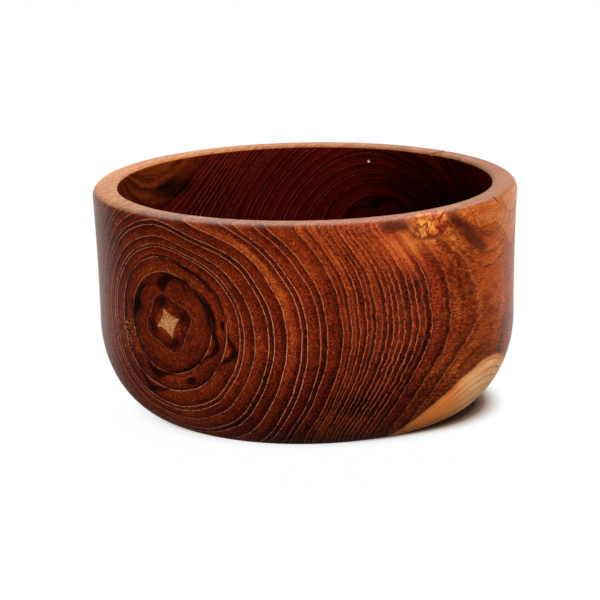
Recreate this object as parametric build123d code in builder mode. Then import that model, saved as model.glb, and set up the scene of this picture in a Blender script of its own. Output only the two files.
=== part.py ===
"""Shaving bowl turned from one block of teak: a handleless mug for working up lather.

The bowl is one piece of wood, so the model is one solid. It stands on the XY plane with its
turning axis on Z. The origin is the centre of the foot. Lengths are in millimetres.
"""

import os

from build123d import *

# Driving dimensions
rim_diameter = 110.0  # outside, at the lip before it is rounded
height = 60.0
foot_diameter = 70.0  # outside of the ring it stands on
wall_thickness = 6.7  # square to the wall, down to the inner corner
floor_thickness = 8.0

# Outside: a wall that flares a little, over a corner that is a quarter of an ellipse
wall_flare = 0.95  # how much further out the lip is than the foot of the wall
corner_height = 25.2
lip_outer_round = 2.2

# Inside: the same shape set in by the wall, over a level floor that seats a round soap cake
soap_seat_diameter = 65.0
inner_corner_height = 17.0
lip_inner_round = 1.5

# Underside: a shallow dish, so that the bowl stands on a ring and can't rock
dish_diameter = 54.0
dish_depth = 1.0

# Radii and heights worked out from those
rim_radius = rim_diameter / 2
waist_radius = rim_radius - wall_flare
foot_radius = foot_diameter / 2
dish_radius = dish_diameter / 2
inner_rim_radius = rim_radius - wall_thickness
inner_waist_radius = waist_radius - wall_thickness
inner_waist_height = floor_thickness + inner_corner_height
soap_seat_radius = soap_seat_diameter / 2
outer_corner_width = waist_radius - foot_radius
inner_corner_width = inner_waist_radius - soap_seat_radius

upward = (0, 1)
outward = (1, 0)

with BuildPart() as bowl:
    # Half of the bowl's section, on the plane that holds the turning axis
    with BuildSketch(Plane.XZ) as section:
        with BuildLine():
            # Underside
            Line((0, floor_thickness), (0, dish_depth))
            TangentArc((0, dish_depth), (dish_radius, 0), tangent=outward)
            Line((dish_radius, 0), (foot_radius, 0))
            # Outside
            EllipticalCenterArc(
                (foot_radius, corner_height),
                outer_corner_width,
                corner_height,
                start_angle=-90,
                arc_size=90,
            )
            TangentArc(
                (waist_radius, corner_height), (rim_radius, height), tangent=upward
            )
            # Lip
            Line((rim_radius, height), (inner_rim_radius, height))
            # Inside
            TangentArc(
                (inner_waist_radius, inner_waist_height),
                (inner_rim_radius, height),
                tangent=upward,
            )
            EllipticalCenterArc(
                (soap_seat_radius, inner_waist_height),
                inner_corner_width,
                inner_corner_height,
                start_angle=-90,
                arc_size=90,
            )
            Line((soap_seat_radius, floor_thickness), (0, floor_thickness))
        make_face()
        # The lip's two corners are sanded round, the outer one more
        inner_corner = section.vertices().group_by(Axis.Y)[-1].sort_by(Axis.X)[0]
        fillet(inner_corner, lip_inner_round)
        outer_corner = section.vertices().group_by(Axis.Y)[-1].sort_by(Axis.X)[-1]
        fillet(outer_corner, lip_outer_round)
    revolve(axis=Axis.Z)

bowl.part.label = "bowl_body"

os.makedirs("parts", exist_ok=True)
export_step(bowl.part, "parts/bowl_body.step")
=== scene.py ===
"""A handleless shaving bowl turned from one block of teak, on a white studio floor.

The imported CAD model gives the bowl's place and outline. One finely divided lathe mesh stands for it, with
the pith, gum pockets and drying checks cut into it. Its colour is a solid pattern: growth rings round the
axis of the log that the block was cut from, so that they run unbroken over the lip and down the inside.
Wood dimensions are in millimetres, and Blender's are in metres.
"""

import math

import bpy
from mathutils import Matrix, Vector, noise


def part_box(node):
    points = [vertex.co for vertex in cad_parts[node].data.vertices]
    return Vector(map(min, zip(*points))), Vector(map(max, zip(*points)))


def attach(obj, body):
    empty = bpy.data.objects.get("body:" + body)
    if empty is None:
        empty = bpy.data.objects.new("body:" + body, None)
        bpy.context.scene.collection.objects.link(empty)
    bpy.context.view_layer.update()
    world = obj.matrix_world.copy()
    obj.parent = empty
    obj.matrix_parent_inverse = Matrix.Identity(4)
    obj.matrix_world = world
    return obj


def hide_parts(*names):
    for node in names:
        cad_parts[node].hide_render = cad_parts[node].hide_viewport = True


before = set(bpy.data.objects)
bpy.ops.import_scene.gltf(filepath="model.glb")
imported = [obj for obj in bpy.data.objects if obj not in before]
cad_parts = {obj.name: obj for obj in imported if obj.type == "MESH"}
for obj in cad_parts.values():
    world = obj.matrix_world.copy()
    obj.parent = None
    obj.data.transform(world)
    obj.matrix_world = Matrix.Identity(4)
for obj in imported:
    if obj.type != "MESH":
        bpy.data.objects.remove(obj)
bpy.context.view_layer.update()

MM = 0.001
BODY = "root"
CAD_NODE = "bowl_body"

# ---- The bowl's section ---------------------------------------------------------------------------------
RIM_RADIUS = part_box(CAD_NODE)[1].x / MM
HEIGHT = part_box(CAD_NODE)[1].z / MM
FOOT_RADIUS = 35.0
DISH_RADIUS = 27.0
DISH_DEPTH = 1.0
CORNER_HEIGHT = 25.2
WALL_FLARE = 0.95  # how much further out the rim is than the foot of the wall
WALL_THICKNESS = 6.7
LIP_OUTER_ROUND = 2.2
LIP_FALL = 2.31  # how far below the rim the wall ends and its outer round starts
LIP_INNER_ROUND = 1.5
INNER_FLARE = 0.9
INNER_CORNER_HEIGHT = 17.0
FLOOR_HEIGHT = 8.0
SEAT_RADIUS = 32.5

# ---- The log that the block came from -------------------------------------------------------------------
PITH_FRONT = Vector((-34.2, -41.9, 33.3))  # where the pith comes out of the wall
PITH_BACK = Vector((21.4, 43.6, 34.0))  # where it would come out of the far wall
ALONG = (PITH_BACK - PITH_FRONT).normalized()
ACROSS = ALONG.cross(Vector((0, 0, 1))).normalized()
UPWARD = ACROSS.cross(ALONG)
PITH_TURN = math.radians(20)  # how far the pith's square is turned
STAR_POWER = 0.8  # below 1, so that the square's sides are drawn in
WIDEST_RING = 10.0
SAPWOOD_STEP = 0.78  # between the rings of the sapwood
TOOL_STEP = 0.9  # between the rings that the turning tool left

# ---- Depths of the relief -------------------------------------------------------------------------------
SANDING = 0.05
PITH_HOLLOW = 0.3
GUM_HOLLOW = 0.12
KNOT_CRACKS = 0.25
CHECK_DEPTH = 0.9

# ---- The bowl's map: strips of the outside and inside, and two discs ------------------------------------
MAP_SIDE = 252.0
MAP_GAP = 1.5
OUTSIDE_HEIGHT = 72.4  # along the section from the foot to the middle of the lip
INSIDE_HEIGHT = 62.4  # from there to the floor
INSIDE_LENGTH = 101.0  # a third of the way round the inside


# =========================================================================================================
# Node helpers
# =========================================================================================================
class Value:
    """An output of a node tree. Arithmetic on it adds math nodes to the tree."""

    def __init__(self, socket):
        self.socket = socket
        self.tree = socket.id_data

    def math(self, operation, *others):
        node = self.tree.nodes.new("ShaderNodeMath")
        node.operation = operation
        for slot, value in zip(node.inputs, (self, *others)):
            feed(slot, value)
        return Value(node.outputs[0])

    def __add__(self, other):
        return self.math("ADD", other)

    __radd__ = __add__

    def __sub__(self, other):
        return self.math("SUBTRACT", other)

    def __rsub__(self, other):
        return (self * -1.0) + other

    def __mul__(self, other):
        return self.math("MULTIPLY", other)

    def __truediv__(self, other):
        return self.math("DIVIDE", other)

    def squared(self):
        return self * self

    def rise(self, low, high):
        """0 below low, 1 above high, smooth between. With low above high it falls instead."""
        node = self.tree.nodes.new("ShaderNodeMapRange")
        node.interpolation_type = "SMOOTHSTEP"
        feed(node.inputs["Value"], self)
        feed(node.inputs["From Min"], low)
        feed(node.inputs["From Max"], high)
        return Value(node.outputs["Result"])

    def bell(self, centre, width):
        """1 at centre, falling to 0.37 at width from it."""
        offset = (self - centre) / width
        return (offset.squared() * -1.0).math("EXPONENT")


def feed(slot, value):
    """Links a node value to an input, or sets the input to a plain number or colour."""
    if isinstance(value, Value):
        slot.id_data.links.new(value.socket, slot)
    else:
        slot.default_value = value


def largest(first, *others):
    for other in others:
        first = first.math("MAXIMUM", other)
    return first


def dot(vector, axis, start):
    """How far the point lies from start, along axis."""
    node = vector.tree.nodes.new("ShaderNodeVectorMath")
    node.operation = "DOT_PRODUCT"
    feed(node.inputs[0], vector)
    node.inputs[1].default_value = axis
    return Value(node.outputs["Value"]) - start.dot(axis)


def join(x, y, z):
    """A vector made of three values."""
    node = x.tree.nodes.new("ShaderNodeCombineXYZ")
    for slot, value in zip(node.inputs, (x, y, z)):
        feed(slot, value)
    return Value(node.outputs[0])


def noise_at(vector, size, detail=2.0, roughness=0.5, seed=0.0):
    """Noise from -1 to 1 whose blobs are about size across."""
    node = vector.tree.nodes.new("ShaderNodeTexNoise")
    node.noise_dimensions = "4D"
    feed(node.inputs["Vector"], vector)
    node.inputs["W"].default_value = seed
    node.inputs["Scale"].default_value = 0.5 / size
    node.inputs["Detail"].default_value = detail
    node.inputs["Roughness"].default_value = roughness
    return (Value(node.outputs["Fac"]) - 0.5) * 2.0


def srgb(red, green, blue):
    """A linear colour from 0-255 values."""
    def linear(level):
        level = level / 255.0
        return level / 12.92 if level <= 0.04045 else ((level + 0.055) / 1.055) ** 2.4
    return (linear(red), linear(green), linear(blue), 1.0)


def ramp(value, stops, interpolation="LINEAR"):
    """The colour that lies at value between stops, which are (position, colour) pairs."""
    node = value.tree.nodes.new("ShaderNodeValToRGB")
    node.color_ramp.interpolation = interpolation
    elements = node.color_ramp.elements
    while len(elements) < len(stops):
        elements.new(0.5)
    for element, (position, colour) in zip(elements, stops):
        element.position = position
        element.color = colour
    feed(node.inputs["Fac"], value)
    return Value(node.outputs["Color"])


def mix(share, first, second, blend="MIX"):
    """The colour first where share is 0, and second where it is 1."""
    tree = next(value.tree for value in (share, first, second) if isinstance(value, Value))
    node = tree.nodes.new("ShaderNodeMix")
    node.data_type = "RGBA"
    node.blend_type = blend
    feed(node.inputs["Factor"], share)
    feed(node.inputs[6], first)
    feed(node.inputs[7], second)
    return Value(node.outputs[2])


def split(colour, kind="ShaderNodeSeparateColor"):
    """The three parts of a colour or vector."""
    node = colour.tree.nodes.new(kind)
    feed(node.inputs[0], colour)
    return [Value(output) for output in node.outputs]


def new_material(name):
    """A material with no nodes yet."""
    material = bpy.data.materials.new(name)
    material.use_nodes = True
    material.node_tree.nodes.clear()
    return material


# =========================================================================================================
# Teak
# =========================================================================================================
RING_SPAN = 72.0  # the farthest from the pith that the block reaches
# Each growth ring: where its pale pore line lies, measured from the pith towards the thick side, and how
# light the wood after it is, from 0 (black-brown) to 1 (pale orange).
RINGS = (
    (0.0, 0.48), (6.9, 0.47), (12.9, 0.54), (17.0, 0.52), (20.3, 0.44), (21.3, 0.47), (23.8, 0.52),
    (27.0, 0.33), (28.3, 0.45), (31.1, 0.46), (34.2, 0.33), (35.4, 0.44), (38.0, 0.34), (39.3, 0.45),
    (42.1, 0.46), (43.7, 0.50), (45.1, 0.46), (46.3, 0.42), (47.8, 0.46), (49.5, 0.42), (50.4, 0.48),
    (51.2, 0.46), (52.0, 0.42), (53.1, 0.50), (54.0, 0.46), (55.7, 0.54), (57.9, 0.56), (59.9, 0.55),
    (63.0, 0.52), (65.8, 0.56),
)
RED_WOOD = (
    (0.00, srgb(22, 5, 3)), (0.18, srgb(54, 12, 7)), (0.36, srgb(88, 23, 10)), (0.52, srgb(120, 36, 13)),
    (0.68, srgb(154, 54, 18)), (0.84, srgb(188, 78, 26)), (1.00, srgb(214, 112, 50)),
)
GOLDEN_WOOD = (
    (0.00, srgb(26, 8, 4)), (0.25, srgb(78, 28, 10)), (0.50, srgb(138, 58, 20)), (0.75, srgb(188, 92, 32)),
    (1.00, srgb(220, 136, 66)),
)
PALE_LINE = srgb(255, 164, 116)  # the pores of the inner rings
ORANGE_LINE = srgb(236, 118, 62)  # of the outer rings
HOLLOW_LINE = srgb(226, 104, 92)  # and inside the bowl
# Painted shade: the hollow's wood is multiplied by this, as the red shade deep in it.
HOLLOW_SHADE_TINT = srgb(255, 140, 110)
FLECK = srgb(240, 160, 96)
LINE_WIDTH = 0.085
LIP_HEIGHT = 59.5  # above this the lip is painted pale, as light and sheen from above
INNER_EDGE = 48.55  # the radius of the lip's inner edge
# Uneven rings: stretch along the log, size, detail, roughness and seed of the noise, the distances from the
# pith at which it starts and is full, and how far it moves a ring.
RING_NOISES = (
    (4, 16.0, 1.0, 0.5, 1.0, 10, 45, 1.1), (5, 4.5, 2.0, 0.5, 2.0, 4, 20, 0.5),
    (3, 0.9, 3.0, 0.7, 3.0, 38, 48, 0.38), (3, 0.4, 1.0, 0.5, 25.0, 12, 45, 0.14),
)


class Log:
    """The point being shaded, in the log's own directions and round its pith."""

    def __init__(self, tree):
        place = tree.nodes.new("ShaderNodeTexCoord")
        grow = tree.nodes.new("ShaderNodeVectorMath")
        grow.operation = "SCALE"
        grow.inputs["Scale"].default_value = 1.0 / MM
        tree.links.new(place.outputs["Object"], grow.inputs[0])
        self.point = Value(grow.outputs[0])
        self.x, self.y, self.z = split(self.point, "ShaderNodeSeparateXYZ")
        self.u = dot(self.point, ACROSS, PITH_FRONT)
        self.v = dot(self.point, UPWARD, PITH_FRONT)
        self.t = dot(self.point, ALONG, PITH_FRONT)
        self.radius = (self.u.squared() + self.v.squared()).math("SQRT")
        self.angle = self.v.math("ARCTAN2", self.u)
        self.sine = self.v / self.radius.math("MAXIMUM", 0.01)
        self.from_axis = (self.x.squared() + self.y.squared()).math("SQRT")
        wall_middle = self.z.rise(7.0, 16.0) * (INNER_EDGE - 41.0) + 41.0
        self.hollow = (self.from_axis - wall_middle).rise(0.08, -0.08) * self.z.rise(5.0, 7.0)

    def fibre(self, stretch):
        """Coordinates in which wood features are stretched along the log."""
        return join(self.u, self.v, self.t / stretch)

    def towards(self, degrees, width):
        """1 in that direction from the pith, 0 far from it."""
        turn = (self.angle - math.radians(degrees)) * 0.5
        return (turn.math("SINE") * 2.0).bell(0.0, math.radians(width))

    def near(self, centre, size):
        """Distance from centre as a share of size, which is how far it reaches across, along and up."""
        parts = [(dot(self.point, axis, centre) / reach).squared()
                 for axis, reach in zip((ACROSS, ALONG, UPWARD), size)]
        return (parts[0] + parts[1] + parts[2]).math("SQRT")


def ring_place(log):
    """The distance from the pith, warped so that each growth ring is where it has one value."""
    # Rings at 24 to 36 mm lie a little low, and rings past 48 mm a little high.
    lean = (log.radius.rise(36, 42) - log.radius.rise(14, 24)) * 2.0 + log.radius.rise(40, 48) * 2.0
    place = log.radius - log.sine * lean
    # The innermost rings have corners like the pith's.
    place = place - corners(log) * log.radius.rise(11, 7) * 0.8
    # Above the pith the rings are dented inwards.
    place = place + log.towards(70, 20) * log.radius.rise(12, 25) * 2.2
    # At the log's left they are narrower.
    place = place + log.towards(172, 50) * (log.radius - 23.5).math("MAXIMUM", 0.0) * 0.58
    # The bowl's right edge shows only the plain outermost wood.
    place = place + log.x.rise(47.0, 54.5) * (1.0 - log.hollow) * 6.0
    # Low at the right the outer rings are narrower.
    low_side = (log.angle * (180 / math.pi)).rise(-6, -42) * log.u.rise(0, 30)
    place = place + low_side * (log.radius - 43.0).math("MAXIMUM", 0.0) * 0.3
    for stretch, size, detail, roughness, seed, start, full, amount in RING_NOISES:
        uneven = noise_at(log.fibre(stretch), size, detail, roughness, seed)
        place = place + uneven * log.radius.rise(start, full) * amount
    return place


def corners(log):
    """1 towards the pith's four corners, -1 towards its four sides."""
    return ((log.angle - PITH_TURN) * 4.0).math("COSINE")


def ring_pattern(place):
    """(lightness of this ring, distance past its start, distance left to its end, its width)"""
    ends = [start for start, _ in RINGS[1:]] + [RING_SPAN]
    stops = [
        (start / RING_SPAN, (tone, start / RING_SPAN, (end - start) / WIDEST_RING, 1.0))
        for (start, tone), end in zip(RINGS, ends)
    ]
    tone, start, width = split(ramp(place / RING_SPAN, stops, "CONSTANT"))
    width = width * WIDEST_RING
    since = place - start * RING_SPAN
    return tone, since, width - since, width


class Figure:
    """The growth rings and the fine texture of the wood at the point being shaded."""

    def __init__(self, log):
        self.place = ring_place(log)
        self.tone, self.since, self.left, self.width = ring_pattern(self.place)
        self.late = (self.since / self.width).rise(0.25, 1.0)  # late wood, towards the next ring
        self.pores = noise_at(log.fibre(6), 0.15, 2.0, 0.7, seed=5.0)
        self.streaks = noise_at(log.fibre(14), 0.8, 3.0, 0.6, seed=6.0)
        along_rings = join(self.place, log.angle * 2.5, log.t / 30)
        self.layers = noise_at(along_rings, 0.3, 2.0, 0.6, seed=17.0)
        self.clouds = noise_at(log.fibre(2.5), 6.0, 2.0, seed=7.0)
        self.outermost = self.place.rise(60.1, 60.8) * log.v.rise(-10, 0)
        self.glow = (log.near(GLOW, GLOW_REACH) + self.clouds * 0.4).rise(1.1, 0.0)
        # Golden wood inside, at the left
        self.warm = log.hollow * (log.x + log.z * -0.6 + self.clouds * 6.0).rise(-50, -76)
        self.gum = gum_marks(log)
        self.line = pore_line(log, self)


def pore_line(log, figure):
    """The broken line of pores where a ring starts, and a fainter one in the middle of a wide outer ring."""
    nearest = figure.since.math("ABSOLUTE").math("MINIMUM", figure.left.math("ABSOLUTE"))
    broken = noise_at(log.fibre(4), 0.35, 2.0, seed=4.0).rise(-0.5, 0.2)
    along_rings = join(figure.place * 0.25, log.angle * 2.0, log.t / 40)
    faded = noise_at(along_rings, 1.6, 1.0, seed=18.0).rise(-0.8, 0.2)
    wide = figure.place.rise(41, 44) * figure.place.rise(57, 55) * figure.width.rise(1.25, 1.4)
    between = (figure.since - figure.width * 0.5).bell(0.0, 0.1) * wide * (figure.clouds * 0.6 + 0.45)
    line = largest(nearest.bell(0.0, LINE_WIDTH), between) * broken * (faded * 0.6 + 0.4)
    return line * (figure.place.rise(4, 19) * 0.7 + 0.3)


def line_share(log, figure):
    """How strongly the pore line shows. It is weaker in the outer wood, and weakest inside the bowl, where it
    is faded as painted shade, most of all at the right.
    """
    line = figure.line * (1.0 - figure.outermost) * (1.0 - figure.warm)
    line = line * (1.0 - figure.place.rise(33, 40) * 0.22 - figure.place.rise(54.5, 57) * 0.4)
    # Painted shade: inside the bowl the line is faded, more at the right.
    inside = log.hollow * (log.x.rise(5, 35) * 0.2 + 0.7)
    return line * (1.0 - inside) * (log.towards(180, 50) * 0.35 + 1.0)


def wood_lightness(log, figure):
    """How light the heartwood is, from 0 (black-brown) to 1 (pale orange)."""
    outside = 1.0 - log.hollow
    # Late wood darkens towards the next ring. One ring has a light flame in it.
    early = (figure.since / figure.width).bell(0.3, 0.25)
    flame = figure.place.bell(32.0, 1.0) * log.towards(30, 60)
    lightness = figure.tone + figure.late * -0.12 + figure.left.bell(0.4, 0.4) * -0.04
    lightness = lightness + early * 0.04 + flame * 0.26
    patches = dark_patches(log, figure.clouds) * (log.hollow * 0.3 + 0.24)
    lightness = lightness + figure.clouds * 0.22 + figure.outermost * 0.06 - patches
    lightness = pith_zone(log, lightness)
    # Painted light from above right: the right side gets lighter upwards. The rings 36 to 43 mm out are also
    # lighter high up and darker low down.
    lightness = lightness + log.v * log.u.rise(8, 30) * outside * 0.005
    lightness = lightness + figure.place.rise(36, 43) * (log.v.rise(5, 25) * 0.11 - 0.08)
    # Fine texture, calmer inside and at the far right
    calm = log.x.rise(36, 46)
    grain = (0.85 - log.hollow * 0.4 - calm * 0.4) * (1.0 - figure.glow * 0.7)
    lightness = lightness + figure.pores * grain + figure.streaks * 0.16
    lightness = lightness + figure.layers * (figure.place.rise(41, 46) * 0.14 - calm * 0.2 + 0.24)
    # Painted shade: the inside is darker, most of all at its right.
    lightness = lightness - log.hollow * (lightness * 0.45 + log.x.rise(10, 44) * 0.08 - 0.03)
    lightness = lightness - figure.line * figure.outermost * 0.25 + figure.glow * 0.31
    # Painted light: the wood is lighter towards the bowl's right edge, and a little towards its left edge, as
    # light and sheen there.
    painted_side_light = log.x.rise(38, 53) * 0.2 + log.x.rise(-44, -54) * 0.06
    return (lightness + painted_side_light * outside) * (1.0 - figure.gum * 0.9)


def heartwood(log, figure, lightness, line):
    """Red wood that turns golden in patches and in the outer rings, with its pore lines and flecks."""
    golden = noise_at(log.fibre(3), 4.0, 2.0, seed=19.0) - 0.35 + figure.place.rise(54, 60) * 0.85
    golden = (golden + figure.glow * 0.5 - log.hollow * 0.7 + figure.warm * 1.6).rise(-0.2, 1.0)
    wood = mix(golden, ramp(lightness, RED_WOOD), ramp(lightness, GOLDEN_WOOD))
    # Painted shade: in the hollow the wood is less golden (above) and tinted redder, as the red shade deep
    # inside it.
    shaded_redder = mix(1.0, wood, HOLLOW_SHADE_TINT, "MULTIPLY")
    wood = mix(log.hollow * 0.6 - figure.warm * 0.5, wood, shaded_redder)
    line_colour = mix(figure.place.rise(28, 44), PALE_LINE, ORANGE_LINE)
    line_colour = mix(log.hollow, line_colour, HOLLOW_LINE)
    wood = mix(line * (1.0 - figure.gum), wood, line_colour)
    return mix(flecks(log), wood, FLECK)


def teak_material():
    """Oiled teak whose colour, sheen and fine relief follow the growth rings."""
    material = new_material("oiled_teak_figure")
    tree = material.node_tree
    log = Log(tree)
    figure = Figure(log)
    line = line_share(log, figure)
    lightness = wood_lightness(log, figure)
    wood = heartwood(log, figure, lightness, line)
    for add_feature in (pith_star, branch_marks, knot_patch, sapwood):
        wood = add_feature(log, wood)
    # Painted light: the lip is made pale, as lit from above.
    lit_lip = lip_light_share(log)
    wood = paint_lip_light(log, lightness, wood, lit_lip)
    checks = check_gaps(log)
    # Painted shade: the checks' gaps are near black.
    wood = mix(checks, wood, GAP_SHADE_COLOUR)
    wood = mix(log.near(PALE_SPECK, PALE_SPECK_REACH).rise(1.0, 0.6), wood, PALE_SPECK_COLOUR)

    shader = tree.nodes.new("ShaderNodeBsdfPrincipled")
    output = tree.nodes.new("ShaderNodeOutputMaterial")
    tree.links.new(shader.outputs[0], output.inputs["Surface"])
    feed(shader.inputs["Base Color"], wood)
    roughness = 0.36 + figure.pores * -0.08 + figure.clouds * 0.05
    roughness = roughness + line * 0.12 + figure.gum * -0.12 + checks * 0.4
    feed(shader.inputs["Roughness"], roughness)
    # The oiled outside has a low sheen. The lip, painted pale as lit from above, the gaps and the hollow have
    # next to none.
    feed(shader.inputs["Specular IOR Level"], (1.0 - log.hollow) * (1.0 - checks) * (0.26 - lit_lip * 0.2))
    bump = tree.nodes.new("ShaderNodeBump")
    bump.inputs["Strength"].default_value = 0.4
    bump.inputs["Distance"].default_value = 0.12 * MM
    grooves = figure.pores * 0.5 + line * -0.8 + figure.late * 0.25 + tool_marks(log) * 0.5
    feed(bump.inputs["Height"], grooves)
    tree.links.new(bump.outputs["Normal"], shader.inputs["Normal"])
    return material


FLECKS = Vector((-46.0, -28.5, 27.5))
FLECKS_REACH = (9.0, 9.0, 7.0)
# Patches of darker heartwood: place, and reach across, along and up.
DARK_PATCHES = (
    (Vector((12.0, -50.5, 13.6)), (7.0, 7.0, 4.0)), (Vector((26.7, -47.3, 43.1)), (1.8, 1.8, 1.6)),
    (Vector((-36.6, 30.9, 52.0)), (8.0, 8.0, 3.2)),
)


def dark_patches(log, clouds):
    """1 in the patches of darker heartwood."""
    return largest(*((log.near(*patch) + clouds * 0.6).rise(1.2, 0.2) for patch in DARK_PATCHES))


def flecks(log):
    """1 in the small pale flecks at the left of the pith."""
    dots = noise_at(log.fibre(1.5), 0.2, 0.0, seed=27.0).rise(0.3, 0.5)
    return dots * log.near(FLECKS, FLECKS_REACH).rise(1.1, 0.3)


def tool_marks(log):
    """Fine rings that the turning tool left on the underside and on the floor inside."""
    ripple = (log.from_axis * (2 * math.pi / TOOL_STEP)).math("SINE")
    return ripple * log.from_axis.rise(34, 31) * log.z.rise(9.5, 8.5)


def pith_zone(log, lightness):
    """Darkens the four-lobed young wood that surrounds the pith."""
    ragged = noise_at(log.fibre(4), 1.6, 3.0, 0.6, seed=8.0) * 0.9
    lobed = (corners(log) * 0.5 + 0.5).math("POWER", 2.0)
    inside = (log.radius - corners(log) * 0.8 + ragged * 0.3).rise(6.7, 6.2)
    lobes = (log.radius + ragged).bell(5.3, 1.25) * lobed
    rim = (log.radius - corners(log) * 0.8).bell(5.9, 0.5)
    glow = (log.radius + ragged).rise(4.6, 3.0)
    zone = 0.46 + glow * 0.16 - lobes * 0.4 - rim * 0.10 + ragged * 0.12
    return lightness + (zone - lightness) * inside * 0.85


def pith_star(log, wood):
    """The pale granular pith, a square with drawn-out corners."""
    turned = log.angle - PITH_TURN
    along = (turned.math("COSINE") * log.radius).math("ABSOLUTE").math("POWER", STAR_POWER)
    beside = (turned.math("SINE") * log.radius).math("ABSOLUTE").math("POWER", STAR_POWER)
    ragged = noise_at(log.fibre(3), 0.45, 3.0, 0.7, seed=9.0)
    inside = (along + beside + ragged).rise(3.05, 2.8)
    grains = noise_at(log.fibre(2), 0.24, 2.0, 0.7, seed=10.0).rise(-0.45, 0.4)
    return mix(inside, wood, mix(grains, srgb(186, 84, 30), srgb(255, 192, 126)))


# Black gum lies in two thin lines round the pith: distance from it, half width, and rows that each bend the
# line and swell it into a pocket. A row has a direction and spread in degrees, then how far outwards it
# bends and how much wider it gets.
GUM_LINES = (
    (12.7, 0.26, ((-20, 14, 2.2, 0.5), (18, 22, 0.4, 0.9), (108, 24, -2.8, 0.0), (96, 12, -0.3, 1.5),
                  (155, 18, -1.2, 0.0), (166, 12, -0.3, 1.6), (-110, 15, 1.7, 0.85), (-75, 15, -0.4, 0.1))),
    (17.0, 0.14, ((-18, 9, 2.4, 0.95), (-112, 13, 2.8, 0.85), (42, 16, -0.5, 0.4), (68, 16, -1.1, 0.3),
                  (-50, 14, 0.3, 0.1), (170, 25, -1.0, 0.1))),
)
# Lone pockets: distance from the pith, direction in degrees, and reach sideways and outwards
GUM_POCKETS = ((15.4, -66, 1.9, 1.0), (26.0, 45, 1.5, 0.4), (15.9, 4, 1.5, 0.45))


def gum_marks(log):
    """Black gum: two thin wavy lines round the pith that swell into pockets, and three lone pockets."""
    ripple = noise_at(log.fibre(6), 1.8, 3.0, 0.6, seed=11.0) * 0.9
    ragged = noise_at(log.fibre(3), 0.7, 3.0, 0.65, seed=13.0)
    fading = noise_at(log.fibre(4), 3.0, 1.0, seed=12.0).rise(-0.7, 0.0)
    marks = []
    for start, half, swellings in GUM_LINES:
        middle = ripple + start
        reach = half + ragged * 0.1
        for degrees, spread, outwards, wider in swellings:
            here = log.towards(degrees, spread)
            middle = middle + here * outwards
            reach = reach + here * wider * (ragged * 0.9 + 0.75)
        off = (log.radius - middle).math("ABSOLUTE") / reach.math("MAXIMUM", 0.05)
        strength = largest(fading * 0.85, (reach - 0.4) * 2.0).math("MINIMUM", 1.0)
        marks.append((off + ragged * 0.5).rise(2.0, 0.4) * strength)
    for radius, degrees, wide, high in GUM_POCKETS:
        turn = (log.angle - math.radians(degrees)) * 0.5
        sideways = turn.math("SINE") * (2.0 * radius / wide)
        outward = (log.radius - radius) / high
        marks.append((sideways.squared() + outward.squared() + ragged).rise(1.4, 0.2) * 0.85)
    return largest(*marks)


KNOT = Vector((30.5, -45.5, 58.6))
KNOT_REACH = (5.6, 5.6, 4.2)
SMEAR = Vector((21.8, -50.3, 58.4))  # the middle of the dark smear at the knot's left
SMEAR_REACH = (5.5, 5.5, 2.1)
GLOW = Vector((23.3, -49.4, 53.1))  # the middle of the light wood below the smear
GLOW_REACH = (11.0, 11.0, 9.0)
SMOKE = Vector((35.6, -41.6, 58.2))  # where the smoky band starts, at the knot's right
SMOKE_ALONG = Vector((8.2, 9.4, -9.6)).normalized()
SMOKE_ACROSS = SMOKE_ALONG.cross(Vector((0.66, -0.75, 0.0))).normalized()
SMOKE_LENGTH = 17.0
BRANCH = Vector((46.5, -28.5, 60.5))  # the middle of the arcs at the right of the lip
BRANCH_ARCS = ((9.6, 0.5), (12.0, 0.3), (14.0, 0.55), (17.0, 0.45))  # radius, strength
PALE_SPECK = Vector((17.8, 44.7, 55.8))  # a pale speck inside the far wall
PALE_SPECK_REACH = (0.45, 0.45, 0.45)
PALE_SPECK_COLOUR = srgb(255, 246, 232)


def branch_marks(log, wood):
    """A smoky streaked band and thin arcs, where the rings bend round a branch above the lip."""
    along = dot(log.point, SMOKE_ALONG, SMOKE)
    across = dot(log.point, SMOKE_ACROSS, SMOKE)
    wisps = noise_at(join(across, along * 0.22, log.t * 0.1), 0.8, 4.0, 0.65, seed=20.0)
    bend = noise_at(log.point, 4.0, 1.0, seed=26.0)
    smoke = (across + wisps * 1.8 + bend * 0.8).math("ABSOLUTE").rise(3.1, 0.5)
    smoke = smoke * along.rise(-1.5, 0.5) * along.rise(SMOKE_LENGTH + 2.0, SMOKE_LENGTH - 2.0)
    smoke = smoke * log.x.rise(28, 34)
    distance = log.near(BRANCH, (1.0, 1.0, 1.0)) + noise_at(log.point, 3.5, 2.0, seed=21.0) * 1.4
    arcs = [distance.bell(radius, 0.28) * strength for radius, strength in BRANCH_ARCS]
    return mix(largest(smoke * 0.8, *arcs) * log.hollow.rise(1, 0), wood, srgb(72, 20, 14))


def knot_patch(log, wood):
    """The amber knot under the lip, in cells with dark red edges, and the dark smear beside it."""
    ragged = noise_at(log.point, 1.5, 3.0, 0.6, seed=14.0)
    reach = log.near(KNOT, KNOT_REACH) + ragged * 0.55
    inside = reach.rise(1.08, 0.92)
    outline = reach.bell(1.0, 0.12) * log.z.rise(58.6, 57.0)
    upright = join(log.u, log.v * 0.5, log.t * 0.5)
    cracks = noise_at(upright, 0.8, 2.0, seed=15.0).math("ABSOLUTE").rise(0.14, 0.0)
    shades = noise_at(log.point, 0.9, 2.0, seed=22.0)
    amber = mix(shades.rise(-0.35, 0.35), srgb(186, 80, 24), srgb(255, 164, 72))
    knot = mix(cracks, amber, srgb(130, 20, 10))
    smear = (log.near(SMEAR, SMEAR_REACH) + ragged * 0.5).rise(1.1, 0.3)
    wood = mix(smear * 0.9, wood, srgb(84, 26, 12))
    return mix(outline * 0.8, mix(inside, wood, knot), srgb(96, 16, 8))


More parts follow.
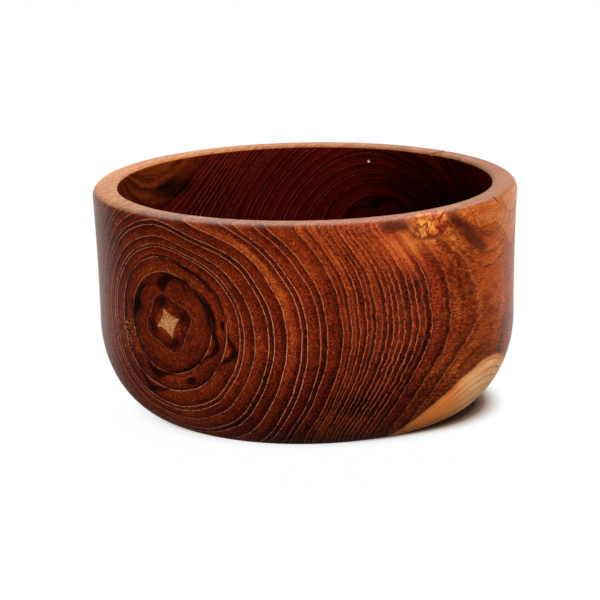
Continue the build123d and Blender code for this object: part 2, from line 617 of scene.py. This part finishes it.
# The sapwood starts at this distance from a point beside the pith, given across and up from the pith. The
# distance shrinks a little along the log.
SAPWOOD_MIDDLE = (17.6, 11.2)
SAPWOOD_START = 50.9
SAPWOOD_TAPER = 0.035


def sapwood(log, wood):
    """Pale sapwood at the low right, with thin brown rings and an orange edge."""
    side = log.u - SAPWOOD_MIDDLE[0]
    up = log.v - SAPWOOD_MIDDLE[1]
    ragged = noise_at(log.fibre(4), 2.4, 2.0, seed=16.0)
    distance = (side.squared() + up.squared()).math("SQRT") + log.t * SAPWOOD_TAPER
    depth = distance - SAPWOOD_START + ragged * 0.4
    where = log.u.rise(15, 30)
    inside = depth.rise(-0.2, 0.4) * where
    orange = largest(depth.rise(1.0, 0.0) * 0.6, log.x.rise(43.0, 34.0))
    phase = (depth / SAPWOOD_STEP).math("FRACT") - 0.5
    shown = noise_at(log.fibre(4), 1.8, 2.0, seed=23.0).rise(-0.4, 0.5) * (log.v.rise(-28, -18) * 0.7 + 0.3)
    arcs = phase.bell(0.0, 0.11) * (shown * 0.7 + 0.15)
    fine = noise_at(log.fibre(12), 0.25, 3.0, 0.7, seed=24.0)
    pale = mix((ragged + fine * 0.7).rise(-0.7, 0.7), srgb(226, 150, 88), srgb(255, 204, 146))
    pale = mix(orange * 0.85, pale, srgb(250, 134, 44))
    pale = mix(arcs, pale, srgb(122, 58, 26))
    # A few of its rings also darken the heartwood next to it.
    ripples = arcs * depth.rise(-9.0, -1.0) * where * 0.8
    return mix(inside, mix(ripples, wood, srgb(66, 26, 12)), pale)


def lip_light_share(log):
    """1 on the lip and its inner rounding, which are painted pale as light and sheen from above. In front it
    fades towards the lip's outer edge, which faces away from that light.
    """
    inner_edge = log.z.rise(50, 52) * log.from_axis.rise(51.5, 51.0)
    lit_lip = largest(log.z.rise(LIP_HEIGHT - 0.6, LIP_HEIGHT), inner_edge)
    front = log.y.rise(-20, -45)
    return lit_lip * (1.0 - log.hollow) * (1.0 - log.from_axis.rise(49.8, 53.6) * front * 0.8)


def paint_lip_light(log, lightness, wood, lit_lip):
    """Painted light: pale wood on the lip, with painted shade that greys it at the front and right. The
    growth rings still show faintly.
    """
    knot = log.near(KNOT, (6.0, 6.0, 6.0)).rise(0.8, 1.4)
    tan = mix(lightness.rise(-0.1, 0.9), srgb(162, 86, 42), srgb(234, 160, 98))
    # Painted shade: the lip is greyer towards the front and right, and a cool grey at the far right.
    painted_shade_side = (log.x * 0.7 - log.y * 0.35).rise(-40, 40)
    tan = mix(painted_shade_side, tan, mix(1.0, tan, srgb(206, 186, 170), "MULTIPLY"))
    tan = mix(log.x.rise(30, 46), tan, mix(1.0, tan, srgb(222, 226, 232), "MULTIPLY"))
    return mix(lit_lip * (knot * 0.65 + 0.2), wood, tan)


# Drying checks: direction from the front in degrees, how much it turns per millimetre inwards from
# TURN_RADIUS, half width, the lowest height and the smallest distance from the bowl's axis.
CHECKS = ((133.2, 0.65, 0.34, 59.2, 48.0), (61.3, -0.4, 0.28, 58.4, 53.2))
TURN_RADIUS = 50.2
GAP_SHADE_COLOUR = srgb(12, 4, 2)


def check_gaps(log):
    """1 in the two drying checks that cross the lip, whose gaps are painted near black as the shade deep
    inside them.
    """
    around = log.x.math("ARCTAN2", log.y * -1.0) * (180 / math.pi)
    wander = (log.from_axis * 2.3 + log.z * 1.7).math("SINE") * 0.12
    gaps = []
    for degrees, turn, half, low, nearest in CHECKS:
        middle = (TURN_RADIUS - log.from_axis).math("MAXIMUM", 0.0) * turn + degrees
        off = (around - middle) * math.radians(TURN_RADIUS) + wander
        ends = log.z.rise(low - 0.4, low + 0.8) * log.from_axis.rise(nearest - 0.3, nearest + 0.3)
        gaps.append(off.bell(0.0, half) * ends)
    return largest(*gaps)


# =========================================================================================================
# The lathe mesh
# =========================================================================================================
FIRST_CUT = -80.0  # degrees from the front, towards the right, where the columns of faces start
COLUMN_STEP = 2.0
# Closer columns: centre, reach and step in degrees. A later row overrides an earlier one.
FINE_COLUMNS = (
    (-38.0, 30.0, 0.6), (33.0, 12.0, 0.6), (-39.1, 5.6, 0.3), (133.7, 2.7, 0.15), (61.3, 1.8, 0.15),
)


def arc(centre, radii, start, end, steps):
    """Points along an ellipse, from start to end degrees, without the first."""
    for step in range(1, steps + 1):
        turn = math.radians(start + (end - start) * step / steps)
        yield centre[0] + radii[0] * math.cos(turn), centre[1] + radii[1] * math.sin(turn)


def flared(radius_low, z_low, gain, z_values):
    """Points up or down a wall that leaves the vertical slowly."""
    for z in z_values:
        yield radius_low + gain * ((z - z_low) / (HEIGHT - z_low)) ** 2, z


def spaced(start, end, steps):
    """Evenly spaced values up to end, without start."""
    return [start + (end - start) * step / steps for step in range(1, steps + 1)]


def section():
    """The section from the middle of the underside, out, up, over the lip and in to the middle of the
    floor, as four lists of (radius, z): underside, outside, inside and floor. Each arc and spaced stretch
    says how many rows it has, and they are closest where the relief is finest."""
    wall_top = HEIGHT - LIP_FALL
    waist = RIM_RADIUS - WALL_FLARE * ((wall_top - CORNER_HEIGHT) / (HEIGHT - CORNER_HEIGHT)) ** 2
    lip_outer = RIM_RADIUS - LIP_OUTER_ROUND
    inner_waist = waist - WALL_THICKNESS
    inner_low = FLOOR_HEIGHT + INNER_CORNER_HEIGHT
    lip_inner = inner_waist + INNER_FLARE + LIP_INNER_ROUND
    lip_middle = (lip_outer + lip_inner) / 2
    sphere = (DISH_RADIUS ** 2 + DISH_DEPTH ** 2) / (2 * DISH_DEPTH)
    dish = [(r, DISH_DEPTH - sphere + math.sqrt(sphere ** 2 - r ** 2)) for r in spaced(0, DISH_RADIUS, 9)]
    foot = [(r, 0.0) for r in spaced(DISH_RADIUS, FOOT_RADIUS, 4)]
    corner = arc((FOOT_RADIUS, CORNER_HEIGHT), (waist - FOOT_RADIUS, CORNER_HEIGHT), -90, 0, 38)
    heights = spaced(CORNER_HEIGHT, 29, 5) + spaced(29, 38, 26) + spaced(38, wall_top, 32)
    wall = flared(waist, CORNER_HEIGHT, WALL_FLARE, heights)
    outer_round = arc((lip_outer, HEIGHT - LIP_OUTER_ROUND), (LIP_OUTER_ROUND, LIP_OUTER_ROUND), -2, 90, 10)
    lip_outside = [(r, HEIGHT) for r in spaced(lip_outer, lip_middle, 5)]
    lip_inside = [(r, HEIGHT) for r in spaced(lip_middle, lip_inner, 4)]
    inner_round = arc((lip_inner, HEIGHT - LIP_INNER_ROUND), (LIP_INNER_ROUND, LIP_INNER_ROUND), 90, 180, 7)
    inner_wall = flared(inner_waist, inner_low, INNER_FLARE, spaced(HEIGHT - LIP_INNER_ROUND, inner_low, 24))
    inner_corner = arc((SEAT_RADIUS, inner_low), (inner_waist - SEAT_RADIUS, INNER_CORNER_HEIGHT), 0, -90, 20)
    seat = [(r, FLOOR_HEIGHT) for r in spaced(SEAT_RADIUS, 0, 10)]
    return (
        [(0.0, DISH_DEPTH), *dish, *foot],
        [*corner, *wall, *outer_round, *lip_outside],
        [*lip_inside, *inner_round, *inner_wall, *inner_corner],
        seat,
    )


def column_angles():
    """Directions of the mesh's columns in degrees, closer together where there is fine detail."""
    angles = [FIRST_CUT + COLUMN_STEP * step for step in range(round(360 / COLUMN_STEP))]
    for centre, reach, step in FINE_COLUMNS:
        angles = [angle for angle in angles if abs(angle - centre) > reach + step / 2]
        angles += [centre - reach + step * number for number in range(round(2 * reach / step) + 1)]
    return sorted(angles)


# ---- Relief ---------------------------------------------------------------------------------------------
def towards(angle, degrees, width):
    """1 in that direction from the pith, 0 far from it, as Log.towards has it."""
    off = 2.0 * math.sin((angle - math.radians(degrees)) * 0.5) / math.radians(width)
    return math.exp(-off * off)


def rise(value, low, high):
    share = min(max((value - low) / (high - low), 0.0), 1.0)
    return share * share * (3.0 - 2.0 * share)


def gum_depth(radius, angle):
    """How deep the gum pockets lie below the surface."""
    depth = 0.0
    for start, half, swellings in GUM_LINES:
        middle, reach = start, half
        for degrees, spread, outwards, wider in swellings:
            here = towards(angle, degrees, spread)
            middle += here * outwards
            reach += here * wider
        depth = max(depth, GUM_HOLLOW * rise(reach, 0.35, 0.9) * rise(abs(radius - middle) / reach, 1.3, 0.5))
    return depth


def pith_depth(radius, angle):
    """How deep the soft pith is worn below the surface, with its grains standing up."""
    along = abs(math.cos(angle - PITH_TURN) * radius) ** STAR_POWER
    beside = abs(math.sin(angle - PITH_TURN) * radius) ** STAR_POWER
    return PITH_HOLLOW * rise(along + beside, 3.2, 2.5)


def check_depth(x, y, z):
    """How deep the two drying checks are cut."""
    from_axis = math.hypot(x, y)
    around = math.degrees(math.atan2(x, -y))
    wander = 0.12 * math.sin(from_axis * 2.3 + z * 1.7)
    depth = 0.0
    for degrees, turn, half, low, nearest in CHECKS:
        middle = degrees + turn * max(TURN_RADIUS - from_axis, 0.0)
        off = (math.radians(around - middle) * TURN_RADIUS + wander) / half
        ends = rise(z, low - 0.4, low + 0.8) * rise(from_axis, nearest - 0.3, nearest + 0.3)
        depth = max(depth, CHECK_DEPTH * ends * math.exp(-off * off))
    return depth


def relief(point):
    """How far the surface lies inside the turned shape: hand sanding, worn pith, gum, knot and checks."""
    x, y, z = point
    offset = point - PITH_FRONT
    across, up = offset.dot(ACROSS), offset.dot(UPWARD)
    radius, angle = math.hypot(across, up), math.atan2(up, across)
    depth = SANDING * (0.5 + 0.5 * noise.noise(point / 11.0)) * rise(z, 0.2, 2.0)
    front = rise(-y, 5.0, 15.0) * rise(math.hypot(x, y), 49.5, 50.5) * rise(z, 0.5, 3.0)
    if front > 0:
        grain = 0.7 + 0.6 * noise.noise(point / 0.8)
        depth += front * (pith_depth(radius, angle) * grain + gum_depth(radius, angle))
        knot = rise((point - KNOT).length, 6.0, 4.0)
        depth += front * knot * KNOT_CRACKS * rise(abs(noise.noise(point / 1.6)), 0.12, 0.0)
    return depth + check_depth(x, y, z)


# ---- The bowl's map -------------------------------------------------------------------------------------
def bands(stretches):
    """For each pair of neighbouring rows: its stretch of the section, and how far along that stretch the
    pair starts and ends."""
    before = stretches[0][0]
    for number, stretch in enumerate(stretches):
        travelled = 0.0
        for place in stretch:
            length = math.dist(place, before)
            if length > 0:
                yield number, travelled, travelled + length
            travelled += length
            before = place


def map_place(stretch, direction, travelled, point, middle):
    """Where a point lies in the bowl's flat map, in millimetres. Outside and inside are cut into strips, and
    middle is the direction that says which strip. Directions are in degrees past the first cut."""
    if stretch == 1:
        strip = middle // 180
        along = (direction - 180 * strip) / 180 * math.pi * RIM_RADIUS
        return MAP_GAP + along, MAP_GAP + strip * (OUTSIDE_HEIGHT + MAP_GAP) + travelled
    if stretch == 2:
        strip = middle // 120
        along = (direction - 120 * strip) / 120 * INSIDE_LENGTH
        low = MAP_GAP + 2 * (OUTSIDE_HEIGHT + MAP_GAP)
        return MAP_GAP + strip * (INSIDE_HEIGHT + MAP_GAP) + travelled, low + along
    disc_x = math.pi * RIM_RADIUS + 2 * MAP_GAP + FOOT_RADIUS
    disc_y = MAP_GAP + FOOT_RADIUS if stretch == 0 else 2 * MAP_GAP + 2 * FOOT_RADIUS + SEAT_RADIUS
    return disc_x + point.x / MM, disc_y + point.y / MM


def lathe_mesh():
    """The turned shape with its relief, as a closed mesh with a map for its colours."""
    stretches = section()
    rows = [place for stretch in stretches for place in stretch]
    angles = column_angles()
    columns = len(angles)
    spokes = [Vector((math.sin(math.radians(a)), -math.cos(math.radians(a)), 0)) for a in angles]
    vertices = [Vector((0, 0, rows[0][1]))]
    for before, (radius, z), after in zip(rows, rows[1:], rows[2:]):
        along = Vector((after[0] - before[0], after[1] - before[1])).normalized()
        for spoke in spokes:
            point = spoke * radius + Vector((0, 0, z))
            outward = spoke * along.y - Vector((0, 0, along.x))
            vertices.append(point - outward * relief(point))
    vertices.append(Vector((0, 0, rows[-1][1])))
    vertices = [vertex * MM for vertex in vertices]

    def number(row, column):
        """The vertex at that row and column, where the first and last rows are single points."""
        if row == 0:
            return 0
        return len(vertices) - 1 if row == len(rows) - 1 else 1 + (row - 1) * columns + column % columns

    turns = [angle - FIRST_CUT for angle in angles] + [360.0]
    faces, places = [], []
    for row, (stretch, start, end) in enumerate(bands(stretches)):
        for column in range(columns):
            middle = (turns[column] + turns[column + 1]) / 2
            face = []
            for up, side in ((0, 0), (0, 1), (1, 1), (1, 0)):
                vertex = number(row + up, column + side)
                if vertex not in face:
                    face.append(vertex)
                    travelled = end if up else start
                    place = map_place(stretch, turns[column + side], travelled, vertices[vertex], middle)
                    places.extend(value / MAP_SIDE for value in place)
            faces.append(face)
    mesh = bpy.data.meshes.new("teak_bowl")
    mesh.from_pydata(vertices, [], faces)
    mesh.uv_layers.new(name="OFBake").data.foreach_set("uv", places)
    mesh.update()
    return mesh


def build_bowl():
    """The teak bowl, in the place of the CAD model's."""
    mesh = lathe_mesh()
    for polygon in mesh.polygons:
        polygon.use_smooth = True
    mesh.materials.append(teak_material())
    bowl = bpy.data.objects.new("teak_bowl", mesh)
    bpy.context.scene.collection.objects.link(bowl)
    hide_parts(CAD_NODE)
    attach(bowl, BODY)
    return bowl


# =========================================================================================================
# Studio
# =========================================================================================================
FLOOR_HALF = 3.0  # metres
FLOOR_LIGHT = 0.79  # how bright the floor looks next to the shade. Farther out it is white.
SHADE_MIDDLE = 2.4  # the shade under the bowl lies this far to the right
SHADE_REACH = (42.0, 35.5)  # to the right, and to the back and front
SHADE_COLOURS = (
    (0.00, srgb(10, 3, 1)), (0.30, srgb(52, 28, 16)), (0.55, srgb(132, 102, 82)), (0.80, srgb(218, 208, 200)),
    (1.00, srgb(255, 255, 255)),
)
# Each softbox: its name, place, size, radiance, and whether the bowl mirrors it. The others light the wood
# without a sheen.
SOFTBOXES = (
    ("softbox_top", (-0.1, 0.5, 0.8), (0.9, 0.55), 5.0, True),
    ("softbox_front", (0.5, -0.5, 0.45), (0.4, 0.3), 12.0, False),
    ("softbox_low_left", (-0.55, -0.42, 0.06), (0.5, 0.14), 10.5, False),
    ("softbox_low_right", (0.6, -0.42, 0.07), (0.5, 0.16), 7.0, False),
)
SOFTBOX_AIM = Vector((0.0, 0.0, 0.02))
SURROUNDINGS = (1.0, 0.97, 0.93, 1.0)
SURROUNDINGS_SEEN = 1.15  # what the camera sees behind the floor
SURROUNDINGS_LIGHT = (0.04, 1.25)  # the light from all round, and how much more comes from behind
LENS = 151.6
SENSOR = 36.0
CAMERA_PLACE = Vector((0.0, -0.64225, 0.18965))
CAMERA_AIM = Vector((-0.0018, 0.0, 0.0279))
CAMERA_ROLL = math.radians(-1.107)


def paper_material():
    """Paper that looks white to the camera but for the shade under the bowl's right side, and gives back
    almost no light. Seen from below it is clear."""
    material = new_material("white_paper")
    tree = material.node_tree
    paper = tree.nodes.new("ShaderNodeBsdfPrincipled")
    paper.inputs["Base Color"].default_value = (0.01, 0.01, 0.01, 1.0)
    paper.inputs["Roughness"].default_value = 0.9
    paper.inputs["Specular IOR Level"].default_value = 0.0
    place = tree.nodes.new("ShaderNodeTexCoord")
    x, y, _ = split(Value(place.outputs["Object"]), "ShaderNodeSeparateXYZ")
    across = (x / MM - SHADE_MIDDLE) / SHADE_REACH[0]
    away = y / (SHADE_REACH[1] * MM)
    outward = (across.squared() + away.squared()).math("SQRT")
    # The shade is softer at the right.
    softness = across.rise(0.5, 1.1) * 0.12
    # Painted shadow: the shade under the bowl is drawn in the floor's glow, which only the camera sees.
    shade = outward.rise(0.93 - softness * 0.5, softness + 1.07)
    # Painted shade: the glow is a little weaker out to 1.2 times the shade's reach.
    glow_and_faint_shade = outward.rise(1.0, 1.2) * 0.2 + FLOOR_LIGHT
    rays = tree.nodes.new("ShaderNodeLightPath")
    feed(paper.inputs["Emission Color"], ramp(shade, SHADE_COLOURS))
    feed(paper.inputs["Emission Strength"], Value(rays.outputs["Is Camera Ray"]) * glow_and_faint_shade)
    clear = tree.nodes.new("ShaderNodeBsdfTransparent")
    facing = tree.nodes.new("ShaderNodeNewGeometry")
    choose = tree.nodes.new("ShaderNodeMixShader")
    output = tree.nodes.new("ShaderNodeOutputMaterial")
    tree.links.new(facing.outputs["Backfacing"], choose.inputs[0])
    tree.links.new(paper.outputs[0], choose.inputs[1])
    tree.links.new(clear.outputs[0], choose.inputs[2])
    tree.links.new(choose.outputs[0], output.inputs["Surface"])
    return material


def build_floor():
    """A flat sheet that the bowl stands on."""
    mesh = bpy.data.meshes.new("studio_floor")
    corner_signs = ((-1, -1), (1, -1), (1, 1), (-1, 1))
    corner_places = [(FLOOR_HALF * side, FLOOR_HALF * back, 0) for side, back in corner_signs]
    mesh.from_pydata(corner_places, [], [(0, 1, 2, 3)])
    mesh.materials.append(paper_material())
    floor = bpy.data.objects.new("studio_floor", mesh)
    floor.visible_glossy = False
    bpy.context.scene.collection.objects.link(floor)


def add_softbox(name, place, size, radiance, mirrored):
    """A softbox aimed at the bowl."""
    light = bpy.data.lights.new(name, "AREA")
    light.shape = "RECTANGLE"
    light.size, light.size_y = size
    light.energy = radiance * math.pi * size[0] * size[1]
    lamp = bpy.data.objects.new(name, light)
    lamp.location = place
    lamp.rotation_euler = (SOFTBOX_AIM - lamp.location).to_track_quat("-Z", "Y").to_euler()
    lamp.visible_camera = False
    lamp.visible_glossy = mirrored
    bpy.context.scene.collection.objects.link(lamp)


def build_world():
    """White all round for the camera. As light it is bright only behind the bowl."""
    world = bpy.data.worlds.new("white_studio")
    bpy.context.scene.world = world
    world.use_nodes = True
    tree = world.node_tree
    tree.nodes.clear()
    place = tree.nodes.new("ShaderNodeTexCoord")
    parts = tree.nodes.new("ShaderNodeSeparateXYZ")
    tree.links.new(place.outputs["Generated"], parts.inputs[0])
    backward = Value(parts.outputs["Y"])
    above = Value(parts.outputs["Z"]).rise(-0.5, -0.22)
    rays = tree.nodes.new("ShaderNodeLightPath")
    seen = Value(rays.outputs["Is Camera Ray"])
    everywhere, behind = SURROUNDINGS_LIGHT
    light = backward.rise(0.5, 1.0) * above * behind + everywhere
    background = tree.nodes.new("ShaderNodeBackground")
    output = tree.nodes.new("ShaderNodeOutputWorld")
    background.inputs["Color"].default_value = SURROUNDINGS
    feed(background.inputs["Strength"], light + (SURROUNDINGS_SEEN - light) * seen)
    tree.links.new(background.outputs[0], output.inputs["Surface"])


def build_camera():
    """The photograph's viewpoint: 14 degrees above the horizon, from 0.66 m."""
    data = bpy.data.cameras.new("camera")
    data.sensor_width = SENSOR
    data.lens = LENS
    data.clip_start = 0.01
    camera = bpy.data.objects.new("camera", data)
    camera.location = CAMERA_PLACE
    turn = (CAMERA_AIM - CAMERA_PLACE).to_track_quat("-Z", "Y").to_matrix().to_4x4()
    camera.rotation_euler = (turn @ Matrix.Rotation(CAMERA_ROLL, 4, "Z")).to_euler()
    bpy.context.scene.collection.objects.link(camera)
    bpy.context.scene.camera = camera


def build_studio():
    """Floor, surroundings and softboxes. Standard view colours keep the white background white."""
    build_floor()
    build_world()
    for softbox in SOFTBOXES:
        add_softbox(*softbox)
    bpy.context.scene.view_settings.view_transform = "Standard"


build_bowl()
build_studio()
build_camera()
